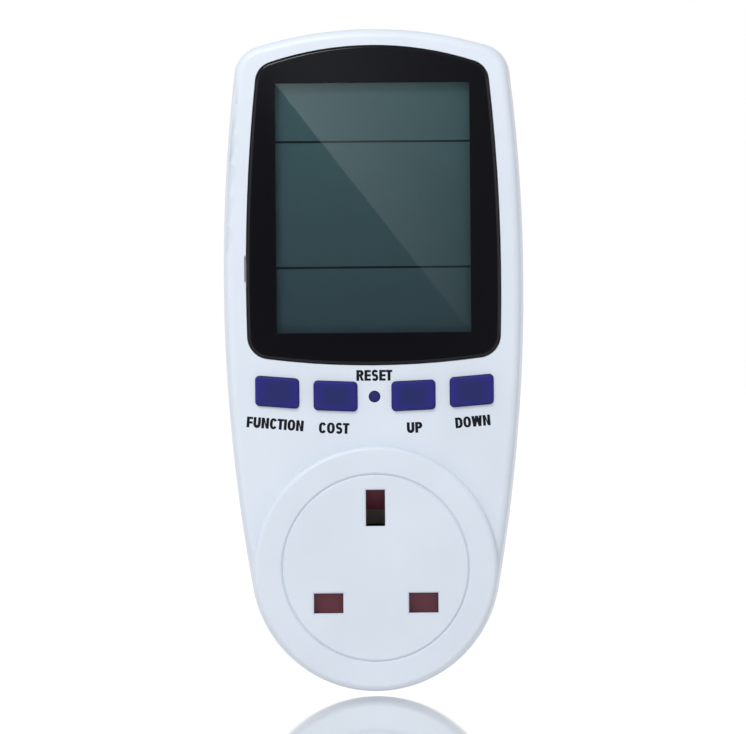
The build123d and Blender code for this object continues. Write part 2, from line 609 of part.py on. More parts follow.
def lcd_reflector():
    return lcd_layer(23.8, 54.1, 114.1, LCD_REAR_Y - POLARISER, LCD_REAR_Y)


def lcd_frame():
    """Moulded tray that holds the liquid crystal panel against the shell."""
    board_front = DISPLAY_BOARD_Y - BOARD_THICKNESS - 0.05
    wall = 1.0
    half = LCD_HALF_WIDTH + 0.15
    z0, z1 = LCD_BOTTOM_Z - 0.15, LCD_TOP_Z + 0.15
    tray = block(-half - wall, half + wall, LCD_FRONT_Y + 0.05, board_front, z0 - wall, z1 + wall)
    tray -= block(-half, half, LCD_FRONT_Y - 1, LCD_REAR_Y + 0.05, z0, z1)
    tray -= block(-half, half, LCD_REAR_Y + 1.05, board_front + 1, z0 + 3.6, z1)
    strip_slot = (LCD_BOTTOM_Z + 0.2, LCD_BOTTOM_Z + 2.3)
    return tray - block(-22.3, 22.3, LCD_REAR_Y - 1, board_front + 1, *strip_slot)


def zebra_strip():
    """Elastomer strip that joins the glass's contacts to the display board."""
    front = LCD_FRONT_Y + POLARISER + LCD_PLATE
    board_front = DISPLAY_BOARD_Y - BOARD_THICKNESS
    return block(-22.0, 22.0, front, board_front, LCD_BOTTOM_Z + 0.35, LCD_BOTTOM_Z + 2.15)


# ---------------------------------------------------------------- keypad
def key(name):
    """One key of the silicone keypad: head, and the stem under it."""
    x, z, width, height, rise = KEYS[name]
    head = plate(key_outline(name), KEY_FOOT_Y, KEY_FRONT_Y)
    head = fillet(head.edges().group_by(Axis.Y)[0], KEY_EDGE_RADIUS)
    return head + peg(x, z, 1.7, KEY_FOOT_Y - 0.5, PILL_FRONT_Y)


def reset_key():
    """Small round key, level with the face."""
    x, z, radius = RESET_KEY
    head = peg(x, z, radius, KEY_FOOT_Y, RESET_FRONT_Y)
    head = fillet(head.edges().group_by(Axis.Y)[0], 0.3)
    return head + peg(x, z, 1.5, KEY_FOOT_Y, PILL_FRONT_Y)


BOARD_FRONT_Y = DISPLAY_BOARD_Y - BOARD_THICKNESS
PILL_REAR_Y = BOARD_FRONT_Y - KEY_TRAVEL - 0.05
PILL_FRONT_Y = PILL_REAR_Y - 0.4
MAT_FRONT_Y = BOARD_FRONT_Y - 1.0


def contact_pill(x, z, radius):
    """Carbon pill under a key's stem."""
    return peg(x, z, radius, PILL_FRONT_Y, PILL_REAR_Y)


SKIRT = 0.5
SKIRT_SPREAD = 0.9


def skirt_sketches(name, inset):
    """Top and foot outlines of a key's collapsing skirt."""
    if name == "reset":
        x, z, radius = RESET_KEY
        return Pos(x, z) * Circle(2.1 - inset), Pos(x, z) * Circle(2.9 - inset)
    return key_outline(name, -inset), key_outline(name, SKIRT_SPREAD - inset)


def frustum(top, foot, y_top, y_foot):
    return loft([at_y(y_foot) * foot, at_y(y_top) * top])


def keypad_skirts():
    """The thin webs that collapse as each key is pressed, one solid for each key."""
    skirts = []
    top_y = KEY_FOOT_Y + 0.02
    for name in [*KEYS, "reset"]:
        outer = frustum(*skirt_sketches(name, 0.0), top_y, MAT_FRONT_Y)
        inner = frustum(*skirt_sketches(name, SKIRT), top_y - 0.001, MAT_FRONT_Y + 0.001)
        skirts.append(outer - inner)
    return Compound(children=[s.solid() for s in skirts])


def keypad_mat():
    """Silicone sheet under the keys, lying on the display board."""
    sheet = Pos(0, 41.1) * RectangleRounded(58.4, 10.6, 1.0)
    for name in [*KEYS, "reset"]:
        sheet -= skirt_sketches(name, SKIRT)[1]
    return plate(sheet, BOARD_FRONT_Y - 0.02, MAT_FRONT_Y)


# ---------------------------------------------------------------- boards
def display_board():
    outline = body_outline(3.8) & Pos(0, (35.8 + 115.8) / 2) * Rectangle(80, 80)
    for x, z in DISPLAY_SCREWS:
        outline -= Pos(x, z) * Circle(0.95)
    return plate(outline, DISPLAY_BOARD_Y, BOARD_FRONT_Y)


def power_board():
    outline = body_outline(4.4) & Pos(0, (38.0 + 114.2) / 2) * Rectangle(80, 76.2)
    for x, z in POWER_SCREWS:
        outline -= Pos(x, z) * Circle(1.1)
    for x in link_pin_places():
        outline -= Pos(x, LINK_Z) * Rectangle(0.8, 0.8)
    return plate(outline, POWER_BOARD_Y, POWER_FRONT_Y)


POWER_FRONT_Y = POWER_BOARD_Y - BOARD_THICKNESS
LINK_Z = 109.5
LINK_PINS = 8
LINK_PITCH = 2.54


def link_pin_places():
    first = -LINK_PITCH * (LINK_PINS - 1) / 2
    return [first + LINK_PITCH * i for i in range(LINK_PINS)]


def link_socket():
    """Receptacle on the display board's back."""
    half = LINK_PITCH * LINK_PINS / 2
    housing = block(-half, half, DISPLAY_BOARD_Y, DISPLAY_BOARD_Y + 8.5, LINK_Z - 1.25, LINK_Z + 1.25)
    deep, mouth = DISPLAY_BOARD_Y + 2, DISPLAY_BOARD_Y + 9
    for x in link_pin_places():
        housing -= block(x - 0.4, x + 0.4, deep, mouth, LINK_Z - 0.4, LINK_Z + 0.4)
    return housing


def link_header():
    """Pin strip's plastic body on the power board."""
    half = LINK_PITCH * LINK_PINS / 2
    strip = block(-half, half, POWER_FRONT_Y - 2.5, POWER_FRONT_Y, LINK_Z - 1.25, LINK_Z + 1.25)
    front, rear = POWER_FRONT_Y - 3, POWER_FRONT_Y + 1
    for x in link_pin_places():
        strip -= block(x - 0.34, x + 0.34, front, rear, LINK_Z - 0.34, LINK_Z + 0.34)
    return strip


def link_pins():
    pins = [
        block(x - 0.32, x + 0.32, DISPLAY_BOARD_Y + 2.5, POWER_BOARD_Y + 1.2, LINK_Z - 0.32, LINK_Z + 0.32)
        for x in link_pin_places()
    ]
    return Compound(children=[p.solid() for p in pins])


def dropper_capacitor():
    """Box film capacitor that feeds the low-voltage supply."""
    case = block(-23.0, -5.0, POWER_FRONT_Y - 8.4, POWER_FRONT_Y - 0.1, 91.0, 104.0)
    return fillet(case.edges(), 0.5)


def smoothing_capacitor():
    """Electrolytic can lying on the board."""
    radius, length = 4.0, 12.0
    can = Pos(12.0, POWER_FRONT_Y - radius - 0.1, 98.0) * Rot(0, 90, 0) * Cylinder(radius, length)
    return fillet(can.edges().filter_by(GeomType.CIRCLE), 0.5)


def varistor():
    """Surge-absorbing disc on short legs."""
    disc = peg(-17.0, 82.0, 4.6, POWER_FRONT_Y - 4.4, POWER_FRONT_Y - 0.8)
    disc = fillet(disc.edges(), 1.0)
    for x in (-19.5, -14.5):
        disc += peg(x, 82.0, 0.35, POWER_FRONT_Y - 2.0, POWER_FRONT_Y)
    return disc


def packaged_chip(x, z, width, height, thick, legs):
    """Flat chip with gull legs along its two long sides."""
    left, right, foot = x - width / 2, x + width / 2, POWER_FRONT_Y - 0.2
    body = block(left, right, foot - thick, foot, z - height / 2, z + height / 2)
    body = chamfer(body.edges().group_by(Axis.Y)[0], 0.25)
    pitch = width / legs
    for i in range(legs):
        leg_x = left + pitch * (i + 0.5)
        for side in (-1, 1):
            ends = sorted((z + side * (height / 2 - 0.2), z + side * (height / 2 + 1.1)))
            body += block(leg_x - 0.2, leg_x + 0.2, POWER_FRONT_Y - 0.25, POWER_FRONT_Y, *ends)
    return body


def metering_chip():
    return packaged_chip(10.0, 80.0, 15.4, 7.5, 2.3, 12)


def bridge_rectifier():
    return packaged_chip(-4.0, 83.0, 8.0, 6.4, 2.5, 2)


def metering_crystal():
    """Low-profile metal can with rounded ends."""
    can = plate(Pos(10.0, 69.0) * SlotOverall(10.8, 4.4), POWER_FRONT_Y - 0.05, POWER_FRONT_Y - 3.4)
    return fillet(can.edges().group_by(Axis.Y)[0], 0.4)


BATTERY_RADIUS = 5.2
BATTERY_CELL = 5.4
BATTERY_CENTRE = (-12.0, POWER_FRONT_Y - BATTERY_RADIUS - 0.35, 62.0)


def backup_battery():
    """Three button cells in a stack that keep the readings when unplugged."""
    cells = []
    for i in (-1, 0, 1):
        x, y, z = BATTERY_CENTRE
        place = Pos(x + i * (BATTERY_CELL + 0.05), y, z) * Rot(0, 90, 0)
        cell = place * Cylinder(BATTERY_RADIUS, BATTERY_CELL)
        cells.append(fillet(cell.edges().filter_by(GeomType.CIRCLE), 0.4).solid())
    return Compound(children=cells)


def battery_sleeve():
    """Shrink film round the three cells."""
    length = 3 * BATTERY_CELL + 0.6
    place = Pos(*BATTERY_CENTRE) * Rot(0, 90, 0)
    return place * (Cylinder(BATTERY_RADIUS + 0.25, length) - Cylinder(BATTERY_RADIUS + 0.03, length + 1))


def controller_blob():
    """Epoxy dome over the display controller, on the display board's back."""
    dome = Pos(0, DISPLAY_BOARD_Y - 9.0, 70.0) * Sphere(12.0)
    return dome & block(-10, 10, DISPLAY_BOARD_Y, DISPLAY_BOARD_Y + 4, 60, 80)


def sense_leads():
    """Insulated leads from the pin strips to the power board."""
    leads = []
    radius = 0.9
    live_x, end_y = PIN_PITCH / 2, POWER_FRONT_Y - radius
    starts = [(-7.0, -13.0, LINE_PIN_Z + 3.4), (live_x, -12.9, LINE_PIN_Z + 20.6), (8.4, -15.6, 0.0)]
    ends = [(x, end_y, 41.0) for x in (-7.0, live_x, 7.6)]
    for start, end in zip(starts, ends):
        bend = (end[0], end[1], end[2] - 9.0)
        path = FilletPolyline(start, bend, end, radius=6.0)
        section = Plane(origin=path @ 0, z_dir=path % 0) * Circle(radius)
        leads.append(sweep(section, path=path).solid())
    return Compound(children=leads)


def rating_label():
    """Blank rating plate on the back of the display end."""
    return plate(Pos(0, 86.0) * RectangleRounded(42.0, 34.0, 1.5), UPPER_BACK_Y + 0.15, UPPER_BACK_Y)


# ---------------------------------------------------------------- fasteners
def pan_screw(x, z, seat_y, shank_radius, shank_length, head_radius, head_height):
    """Cross-head screw driven towards the front, its head behind seat_y."""
    head = peg(x, z, head_radius, seat_y, seat_y + head_height)
    head = fillet(head.edges().group_by(Axis.Y)[-1], head_height * 0.4)
    slot_depth = head_height * 0.55
    reach, width = head_radius * 1.1, head_radius * 0.28
    slot = Box(reach, slot_depth, width) + Box(width, slot_depth, reach)
    head -= Pos(x, seat_y + head_height - slot_depth / 2, z) * slot
    shank = peg(x, z, shank_radius, seat_y, seat_y - shank_length)
    tip = shank.edges().group_by(Axis.Y)[0]
    return head + chamfer(tip, shank_radius * 0.5)


def screw_set(places, *sizes):
    return Compound(children=[pan_screw(x, z, *sizes).solid() for x, z in places])


def power_board_screws():
    """Screws driven towards the back, their heads on the board's front."""
    behind = screw_set(POWER_SCREWS, POWER_FRONT_Y, 0.95, 4.5, 2.1, 1.3)
    return Compound(children=[mirror(s, about=at_y(POWER_FRONT_Y)) for s in behind.solids()])


# ---------------------------------------------------------------- assembly
HALF_PITCH = PIN_PITCH / 2
PARTS = {
    "front_housing": front_housing,
    "rear_housing": rear_housing,
    "socket_face": socket_face,
    "plug_base": plug_base,
    "display_bezel": display_bezel,
    "display_window": display_window,
    "lcd_front_polariser": lcd_front_polariser,
    "lcd_front_glass": lcd_front_glass,
    "lcd_rear_glass": lcd_rear_glass,
    "lcd_reflector": lcd_reflector,
    "lcd_frame": lcd_frame,
    "zebra_strip": zebra_strip,
    "display_board": display_board,
    "controller_blob": controller_blob,
    "keypad_mat": keypad_mat,
    "keypad_skirts": keypad_skirts,
    "key_reset": reset_key,
    "contact_pill_reset": lambda: contact_pill(RESET_KEY[0], RESET_KEY[1], 1.3),
    "power_board": power_board,
    "link_header": link_header,
    "link_socket": link_socket,
    "link_pins": link_pins,
    "dropper_capacitor": dropper_capacitor,
    "smoothing_capacitor": smoothing_capacitor,
    "varistor": varistor,
    "bridge_rectifier": bridge_rectifier,
    "metering_chip": metering_chip,
    "metering_crystal": metering_crystal,
    "backup_battery": backup_battery,
    "battery_sleeve": battery_sleeve,
    "contact_carrier": contact_carrier,
    "neutral_contact": neutral_contact,
    "live_contact": live_contact,
    "earth_contact": earth_contact,
    "live_bar": live_bar,
    "shunt_resistor": shunt_resistor,
    "sense_leads": sense_leads,
    "shutter": shutter,
    "shutter_spring": shutter_spring,
    "neutral_pin": lambda: line_pin(-HALF_PITCH),
    "live_pin": lambda: line_pin(HALF_PITCH),
    "earth_pin": earth_pin,
    "neutral_pin_sleeve": lambda: pin_sleeve(-HALF_PITCH),
    "live_pin_sleeve": lambda: pin_sleeve(HALF_PITCH),
    "rating_label": rating_label,
    "housing_screws": lambda: screw_set(HOUSING_SCREWS, HOUSING_SCREW_SEAT_Y, 1.3, 18.5, 2.4, 2.0),
    "display_board_screws": lambda: screw_set(DISPLAY_SCREWS, DISPLAY_BOARD_Y, 0.75, 6.5, 1.8, 1.2),
    "power_board_screws": power_board_screws,
    "carrier_screws": lambda: screw_set(CARRIER_SCREWS, -28.5, 0.9, 7.6, 2.1, 1.6),
}
for key_name, (key_x, key_z, *_) in KEYS.items():
    PARTS[f"key_{key_name}"] = lambda name=key_name: key(name)
    PARTS[f"contact_pill_{key_name}"] = lambda x=key_x, z=key_z: contact_pill(x, z, 1.7)

os.makedirs("parts", exist_ok=True)
for node, build in PARTS.items():
    export_step(build(), f"parts/{node}.step")
print(len(PARTS), "nodes written")
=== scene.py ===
"""Looks of the plug-in power meter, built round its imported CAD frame. Metres; -Y is the front."""

import json
import math

import bmesh
import bpy
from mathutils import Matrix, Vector


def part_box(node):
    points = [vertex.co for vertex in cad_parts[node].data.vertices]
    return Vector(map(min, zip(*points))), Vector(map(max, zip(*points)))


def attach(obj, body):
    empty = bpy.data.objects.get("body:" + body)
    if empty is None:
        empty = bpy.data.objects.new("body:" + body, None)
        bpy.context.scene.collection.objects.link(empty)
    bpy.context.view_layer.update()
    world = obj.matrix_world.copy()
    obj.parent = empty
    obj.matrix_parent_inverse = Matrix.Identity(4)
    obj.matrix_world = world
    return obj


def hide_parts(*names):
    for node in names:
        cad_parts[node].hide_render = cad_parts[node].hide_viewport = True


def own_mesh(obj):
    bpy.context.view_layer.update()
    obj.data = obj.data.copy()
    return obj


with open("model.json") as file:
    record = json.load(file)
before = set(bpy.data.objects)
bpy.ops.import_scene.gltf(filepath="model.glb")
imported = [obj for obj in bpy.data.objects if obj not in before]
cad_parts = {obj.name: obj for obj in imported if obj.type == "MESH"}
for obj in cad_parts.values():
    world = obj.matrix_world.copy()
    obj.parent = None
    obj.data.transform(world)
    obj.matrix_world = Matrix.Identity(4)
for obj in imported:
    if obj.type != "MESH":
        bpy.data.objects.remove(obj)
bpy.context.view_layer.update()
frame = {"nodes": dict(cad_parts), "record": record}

MM = 0.001
NODES = frame["nodes"]
RECORD = frame["record"]
ROOT = "meter_body"

# ---------------------------------------------------------------- places taken from the frame
BEZEL_PROUD = 0.25 * MM  # how far the bezel stands out of the face
FACE_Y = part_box("display_bezel")[0].y + BEZEL_PROUD  # the flat front face
SOCKET_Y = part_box("socket_face")[0].y
SHELL_LOW, SHELL_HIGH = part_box("front_housing")
BEZEL_LOW, BEZEL_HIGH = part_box("display_bezel")
LCD_LOW, LCD_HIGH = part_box("lcd_front_polariser")
PANE_LOW, PANE_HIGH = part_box("display_window")
PLATE_LOW, PLATE_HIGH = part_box("rating_label")


# ---------------------------------------------------------------- material nodes
class Nodes:
    """Short hand for building one material's node tree."""

    def __init__(self, name):
        self.material = bpy.data.materials.new(name)
        self.material.use_nodes = True
        self.tree = self.material.node_tree
        self.tree.nodes.clear()
        self.out = self.add("OutputMaterial")

    def add(self, kind, **values):
        node = self.tree.nodes.new("ShaderNode" + kind)
        for key, value in values.items():
            setattr(node, key, value)
        return node

    def link(self, a, b):
        self.tree.links.new(a, b)

    def place(self):
        """Object coordinates, in metres."""
        return self.add("TexCoord").outputs["Object"]

    def axis(self, name):
        """One of the object coordinates."""
        split = self.add("SeparateXYZ")
        self.link(self.place(), split.inputs["Vector"])
        return split.outputs[name]

    def noise(self, scale, detail=2.0, roughness=0.5, stretch=(1, 1, 1)):
        """Noise value; the scale is in features per metre, the stretch multiplies it by axis."""
        texture = self.add("TexNoise")
        texture.inputs["Scale"].default_value = scale
        texture.inputs["Detail"].default_value = detail
        texture.inputs["Roughness"].default_value = roughness
        mapping = self.add("Mapping")
        mapping.inputs["Scale"].default_value = stretch
        self.link(self.place(), mapping.inputs["Vector"])
        self.link(mapping.outputs["Vector"], texture.inputs["Vector"])
        return texture.outputs["Fac"]

    def ramp(self, value, low, high, span=(0.3, 0.7)):
        """Map the stretch of a value between span's ends onto low..high."""
        node = self.add("MapRange")
        self.link(value, node.inputs["Value"])
        node.inputs["From Min"].default_value, node.inputs["From Max"].default_value = span
        node.inputs["To Min"].default_value, node.inputs["To Max"].default_value = low, high
        return node.outputs["Result"]

    def colours(self, value, a, b):
        """Colour between a and b by value."""
        node = self.add("Mix", data_type="RGBA")
        self.link(value, node.inputs["Factor"])
        node.inputs["A"].default_value = (*a, 1)
        node.inputs["B"].default_value = (*b, 1)
        return node.outputs["Result"]

    def product(self, a, b):
        """Two colours multiplied."""
        node = self.add("Mix", data_type="RGBA", blend_type="MULTIPLY")
        node.inputs["Factor"].default_value = 1.0
        self.link(a, node.inputs["A"])
        self.link(b, node.inputs["B"])
        return node.outputs["Result"]

    def bump(self, height, depth):
        """Normal of a relief of this depth, in metres."""
        node = self.add("Bump")
        node.inputs["Distance"].default_value = depth
        self.link(height, node.inputs["Height"])
        return node.outputs["Normal"]

    def principled(self, **values):
        """Surface shader, with its inputs' names written with underscores."""
        shader = self.add("BsdfPrincipled")
        for key, value in values.items():
            shader.inputs[key.replace("_", " ")].default_value = value
        self.link(shader.outputs["BSDF"], self.out.inputs["Surface"])
        return shader


def tint(colour, factor):
    """Colour made darker or lighter by a factor."""
    return tuple(min(1.0, c * factor) for c in colour)


def moulded(name, colour, roughness, grain=0.25 * MM, depth=0.012 * MM, spread=0.05, specular=0.5):
    """Injection-moulded plastic: spark-eroded grain, slight cloudiness in colour and gloss."""
    n = Nodes(name)
    shader = n.principled(Specular_IOR_Level=specular)
    cloud = n.ramp(n.noise(45, 3), 0, 1)
    n.link(n.colours(cloud, tint(colour, 0.97), tint(colour, 1.02)), shader.inputs["Base Color"])
    fine = n.noise(1 / grain, 3, 0.6)
    n.link(n.ramp(fine, roughness - spread, roughness + spread), shader.inputs["Roughness"])
    n.link(n.bump(fine, depth), shader.inputs["Normal"])
    return n.material


def silicone_skin(n, shader):
    """Fine matt grain in gloss and relief."""
    fine = n.noise(5200, 2)
    n.link(n.ramp(fine, 0.48, 0.62), shader.inputs["Roughness"])
    n.link(n.bump(fine, 0.006 * MM), shader.inputs["Normal"])


def silicone(name, colour):
    """Matt moulded silicone with a faint dusty sheen."""
    n = Nodes(name)
    shader = n.principled(Specular_IOR_Level=0.22, Sheen_Weight=0.1, Sheen_Roughness=0.4)
    cloud = n.ramp(n.noise(160, 4), 0, 1)
    n.link(n.colours(cloud, tint(colour, 0.92), tint(colour, 1.08)), shader.inputs["Base Color"])
    silicone_skin(n, shader)
    return n.material


# Painted highlight: a lighter, bluer colour painted along each key's rim in place of the light its
# rounded edges catch.
KEY_PAINTED_RIM_SPAN = (0.22, 0.48)  # the rim's colour comes in between these shares of a key's size
KEY_CORNER = 0.1  # how softly it turns the corners


def key_silicone(name, middle, painted_rim_colour):
    """Blue silicone with a painted highlight: a lighter, bluer rim painted along a key's edges,
    over the darker middle.
    """
    n = Nodes(name)
    shader = n.principled(Specular_IOR_Level=0.22, Sheen_Weight=0.3, Sheen_Roughness=0.4)
    shader.inputs["Sheen Tint"].default_value = (*tint(painted_rim_colour, 2.0), 1)
    split = n.add("SeparateXYZ")
    n.link(n.add("TexCoord").outputs["Generated"], split.inputs["Vector"])
    from_middle = []
    for axis in "XZ":
        offset = n.add("Math", operation="SUBTRACT")
        n.link(split.outputs[axis], offset.inputs[0])
        offset.inputs[1].default_value = 0.5
        size = n.add("Math", operation="ABSOLUTE")
        n.link(offset.outputs[0], size.inputs[0])
        from_middle.append(size.outputs[0])
    farthest = n.add("Math", operation="SMOOTH_MAX")
    n.link(from_middle[0], farthest.inputs[0])
    n.link(from_middle[1], farthest.inputs[1])
    farthest.inputs[2].default_value = KEY_CORNER
    # Painted highlight, strongest at the key's edges and fading towards its middle.
    painted_rim_share = n.ramp(farthest.outputs[0], 0, 1, KEY_PAINTED_RIM_SPAN)
    n.link(n.colours(painted_rim_share, middle, painted_rim_colour), shader.inputs["Base Color"])
    silicone_skin(n, shader)
    return n.material


def metal(name, colour, roughness, brush=(1, 1, 1), scale=900, stain=0.9):
    """Metal with drawing or rolling marks and slight tarnish."""
    n = Nodes(name)
    shader = n.principled(Metallic=1.0)
    marks = n.noise(scale, 4, 0.6, brush)
    cloud = n.ramp(n.noise(260, 3), 0, 1)
    n.link(n.colours(cloud, tint(colour, stain), colour), shader.inputs["Base Color"])
    n.link(n.ramp(marks, roughness * 0.7, roughness * 1.4), shader.inputs["Roughness"])
    n.link(n.bump(marks, 0.004 * MM), shader.inputs["Normal"])
    return n.material


ACRYLIC_IOR = 1.49


def clear_sheet(name, colour):
    """Clear plastic or glass sheet: sharp, barely wavy reflection over what lies behind it."""
    n = Nodes(name)
    through = n.add("BsdfTransparent")
    through.inputs["Color"].default_value = (*colour, 1)
    shine = n.add("BsdfGlossy")
    shine.inputs["Color"].default_value = (1, 1, 1, 1)
    shine.inputs["Roughness"].default_value = 0.0
    n.link(n.bump(n.noise(60, 1), 0.0003 * MM), shine.inputs["Normal"])
    fresnel = n.add("Fresnel")
    fresnel.inputs["IOR"].default_value = ACRYLIC_IOR
    mix = n.add("MixShader")
    n.link(fresnel.outputs["Fac"], mix.inputs["Fac"])
    n.link(through.outputs["BSDF"], mix.inputs[1])
    n.link(shine.outputs["BSDF"], mix.inputs[2])
    n.link(mix.outputs["Shader"], n.out.inputs["Surface"])
    return n.material


def circuit_board(name):
    """Green solder mask over faint copper runs on a fibreglass weave."""
    n = Nodes(name)
    shader = n.principled(Coat_Weight=0.4, Coat_Roughness=0.15)
    brick = n.add("TexBrick")
    n.link(n.place(), brick.inputs["Vector"])
    brick.inputs["Scale"].default_value = 180
    brick.inputs["Mortar Size"].default_value = 0.012
    brick.inputs["Color1"].default_value = (0.012, 0.11, 0.035, 1)
    brick.inputs["Color2"].default_value = (0.014, 0.13, 0.04, 1)
    brick.inputs["Mortar"].default_value = (0.03, 0.24, 0.07, 1)
    n.link(brick.outputs["Color"], shader.inputs["Base Color"])
    weave = n.noise(2600, 2, 0.5, (1, 1, 3))
    n.link(n.ramp(weave, 0.32, 0.45), shader.inputs["Roughness"])
    n.link(n.bump(weave, 0.008 * MM), shader.inputs["Normal"])
    return n.material


# Film colour at the bottom and at the top; the step between them is painted shade at the bottom and
# painted light at the top, not a tone of the film.
LCD_BOTTOM_PAINTED_SHADE = (0.083, 0.148, 0.182)
LCD_TOP_PAINTED_LIGHT = (0.123, 0.238, 0.256)


def lcd_film(name):
    """Unpowered liquid crystal: grey-green film, with painted light that makes it lighter towards
    the top and painted shade that makes it darker towards the bottom.
    """
    n = Nodes(name)
    shader = n.principled(Roughness=0.5, Specular_IOR_Level=0.1)
    # Painted light and shade: the film's colour runs from darker at its bottom to lighter at its
    # top.
    up = n.ramp(n.axis("Z"), 0, 1, (LCD_LOW.z, LCD_HIGH.z))
    shade = n.colours(up, LCD_BOTTOM_PAINTED_SHADE, LCD_TOP_PAINTED_LIGHT)
    cloud = n.colours(n.ramp(n.noise(120, 3), 0, 1), (0.96, 0.96, 0.96), (1, 1, 1))
    n.link(n.product(shade, cloud), shader.inputs["Base Color"])
    n.link(n.bump(n.noise(6000, 2), 0.002 * MM), shader.inputs["Normal"])
    return n.material


MATERIALS = {
    "white_shell": moulded("white_shell", (0.732, 0.796, 0.884), 0.40, 0.25 * MM, 0.008 * MM),
    "carrier_plastic": moulded("carrier_plastic", (0.72, 0.72, 0.70), 0.6),
    "bezel_plastic": moulded(
        "bezel_plastic", (0.0046, 0.0045, 0.0066), 0.11, 0.18 * MM, 0.0008 * MM, 0.02, 0.28
    ),
    "clear_window": clear_sheet("clear_window", (0.93, 0.95, 0.95)),
    "lcd_glass": clear_sheet("lcd_glass", (0.9, 0.95, 0.92)),
    "polariser_film": lcd_film("polariser_film"),
    "reflector_film": metal("reflector_film", (0.55, 0.58, 0.56), 0.5),
    "black_plastic": moulded("black_plastic", (0.018, 0.018, 0.019), 0.5),
    "blue_silicone": silicone("blue_silicone", (0.016, 0.019, 0.125)),
    "zebra_elastomer": silicone("zebra_elastomer", (0.45, 0.22, 0.26)),
    "carbon_pill": silicone("carbon_pill", (0.012, 0.012, 0.012)),
    "maroon_plastic": moulded("maroon_plastic", (0.205, 0.040, 0.060), 0.45),
    "circuit_board": circuit_board("circuit_board"),
    "black_epoxy": moulded("black_epoxy", (0.012, 0.012, 0.012), 0.22, 1.2 * MM, 0.05 * MM),
    "chip_package": moulded("chip_package", (0.022, 0.022, 0.023), 0.6, 0.12 * MM),
    "capacitor_case": moulded("capacitor_case", (0.50, 0.40, 0.10), 0.4),
    "capacitor_can": moulded("capacitor_can", (0.02, 0.035, 0.12), 0.3),
    "varistor_coating": moulded("varistor_coating", (0.05, 0.12, 0.42), 0.35, 1.5 * MM, 0.06 * MM),
    "battery_film": moulded("battery_film", (0.03, 0.26, 0.08), 0.25, 2.0 * MM, 0.05 * MM),
    "lead_insulation": moulded("lead_insulation", (0.45, 0.03, 0.025), 0.4),
    "label_paper": moulded("label_paper", (0.62, 0.64, 0.66), 0.5, 0.1 * MM, 0.004 * MM),
    "tinned_metal": metal("tinned_metal", (0.72, 0.72, 0.70), 0.25),
    "nickel_cells": metal("nickel_cells", (0.66, 0.65, 0.62), 0.22, (1, 8, 1)),
    # Partly the dull grey of tinned contacts, partly painted shade: darkened further for the deep
    # slots they sit in.
    "contact_brass": metal("contact_brass", (0.33, 0.295, 0.275), 0.45, (6, 1, 6)),
    "pin_brass": metal("pin_brass", (0.83, 0.68, 0.38), 0.2, (8, 0.6, 8)),
    "shunt_alloy": metal("shunt_alloy", (0.62, 0.50, 0.42), 0.35),
    "spring_steel": metal("spring_steel", (0.60, 0.60, 0.62), 0.28),
}

# The keys' own blue, then the lighter blue of the painted highlight along their rims.
KEY_BLUE = key_silicone("key_blue", (0.015, 0.020, 0.128), (0.019, 0.018, 0.215))

slot_of = {part["node"]: part["material_slot"] for part in RECORD["subparts"]}
for name, node in NODES.items():
    material = KEY_BLUE if name.startswith("key_") else MATERIALS[slot_of[name]]
    if node.material_slots:
        for material_slot in node.material_slots:
            material_slot.material = material
    else:
        node.data.materials.append(material)

INK = moulded("label_ink", (0.008, 0.008, 0.014), 0.45, 0.1 * MM, 0.003 * MM, 0.05, 0.12)
RULE_INK = moulded("rule_ink", (0.10, 0.11, 0.13), 0.5, 0.1 * MM, 0.003 * MM)
LINE_INK = moulded("lcd_line_ink", (0.006, 0.016, 0.020), 0.5, 0.2 * MM, 0.001 * MM, 0.05, 0.1)
PRINT_DEPTH = 0.02 * MM


# ---------------------------------------------------------------- bold condensed capitals
# Measures are in cap heights. Each capital is (width, [closed outlines]), and an outline inside
# another is a hole.
STEM = 0.285  # upright stroke
BAR = 0.205  # level stroke
LETTER_GAP = 0.075
GAP_BESIDE_T = 0.02
ROUND_STEPS = 10
HALF_ROUND = 0.515  # half the height of O and C, which overshoot a little
SQUARING = 0.85  # makes O and C squarish


def arc(centre, radii, start, end, power=1.0):
    """Points on an ellipse between two angles in degrees; a power below 1 squares it."""
    points = []
    for i in range(ROUND_STEPS + 1):
        angle = math.radians(start + (end - start) * i / ROUND_STEPS)
        across, up = math.cos(angle), math.sin(angle)
        points.append((
            centre[0] + radii[0] * math.copysign(abs(across) ** power, across),
            centre[1] + radii[1] * math.copysign(abs(up) ** power, up),
        ))
    return points


def stroke(path, thick):
    """Closed outline of a stroke that follows a path."""
    left, right = [], []
    for i, (x, y) in enumerate(path):
        before, after = path[max(i - 1, 0)], path[min(i + 1, len(path) - 1)]
        dx, dy = after[0] - before[0], after[1] - before[1]
        reach = thick / 2 / math.hypot(dx, dy)
        left.append((x - dy * reach, y + dx * reach))
        right.append((x + dy * reach, y - dx * reach))
    return left + right[::-1]


def comb(width, levels):
    """Stem with level bars at the given heights, as in E and F."""
    points = [(0, 0)]
    for level in levels:
        low, high = level - BAR / 2, level + BAR / 2
        points += [(STEM, low), (width, low), (width, high), (STEM, high)]
    if levels[0] > BAR:
        points.insert(1, (STEM, 0))
    else:
        points.remove((STEM, levels[0] - BAR / 2))
    return width, [points[:-1] + [(0, 1)]]


def bowl(left, right, low, high, radius):
    """Flat left side and rounded right corners, from the lower left round to the upper left."""
    lower = arc((right - radius, low + radius), (radius, radius), -90, 0)
    upper = arc((right - radius, high - radius), (radius, radius), 0, 90)
    return [(left, low)] + lower + upper[1:] + [(left, high)]


def oval(centre, radii, start=0, end=360):
    """Squarish round, from one angle by way of the left side to the other."""
    first = arc(centre, radii, start, 180, SQUARING)
    return first + arc(centre, radii, 180, end, SQUARING)[1:]


